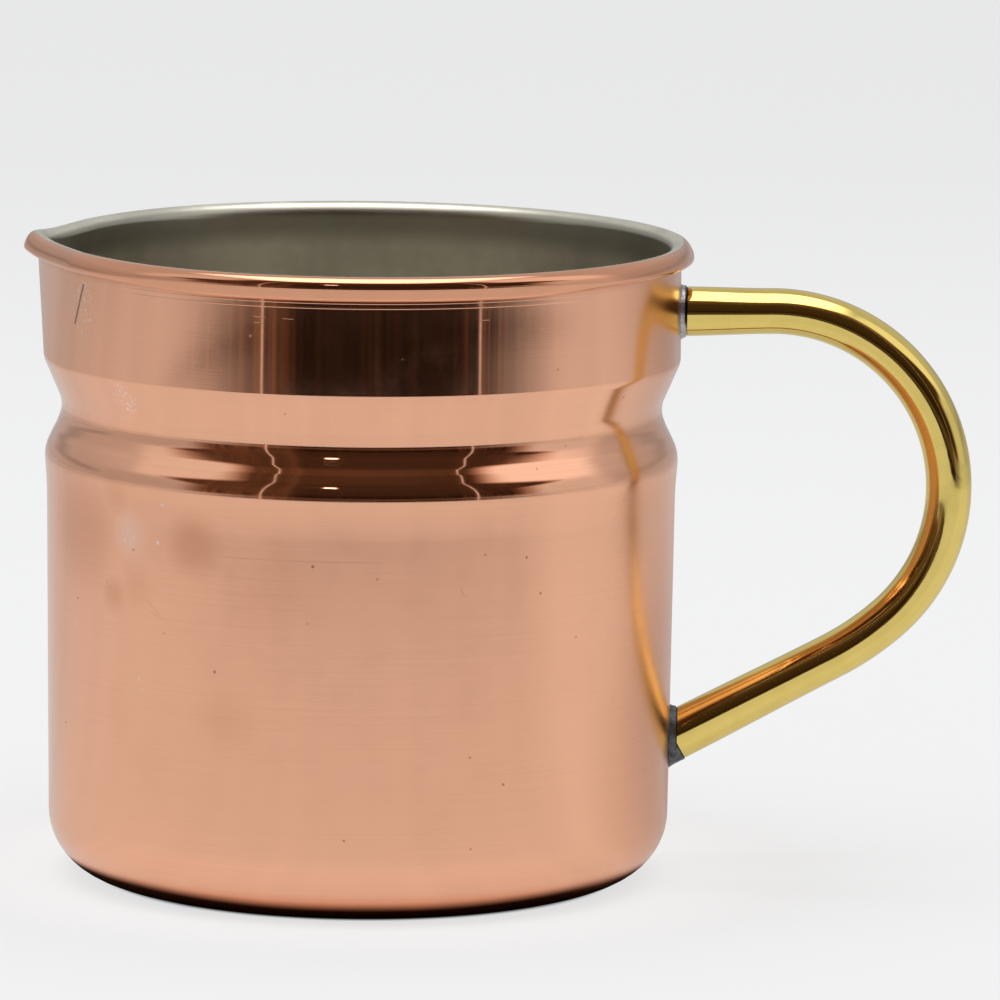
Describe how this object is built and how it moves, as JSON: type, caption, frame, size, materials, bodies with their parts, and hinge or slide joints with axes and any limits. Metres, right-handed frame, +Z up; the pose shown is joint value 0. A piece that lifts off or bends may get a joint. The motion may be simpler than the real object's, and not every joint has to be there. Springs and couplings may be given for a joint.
{
  "type": "copper milk pot",
  "caption": "Small round copper pot with a grey metal lining, a waist groove, a rolled rim pinched into a pouring spout, and a brass tube loop handle soldered on.",
  "frame": {"origin": "the middle of the flat standing face, on the pot's axis", "axes": "+Z up along the pot's axis, +X towards the handle, -X towards the spout"},
  "size_m": [0.133, 0.0924, 0.0903],
  "materials": {
    "copper": "polished copper sheet with fine brushing round the wall, light fingerprints and small dents",
    "lining": "satin grey lining, brushed round",
    "handle_brass": "brightly polished yellow brass tube",
    "solder": "dull dark grey solder with a bright dressed ring"
  },
  "bodies": {
    "root": {"pot_body": "copper", "inner_lining": "lining", "handle": "handle_brass", "upper_solder_joint": "solder", "lower_solder_joint": "solder"}
  },
  "joints": []
}
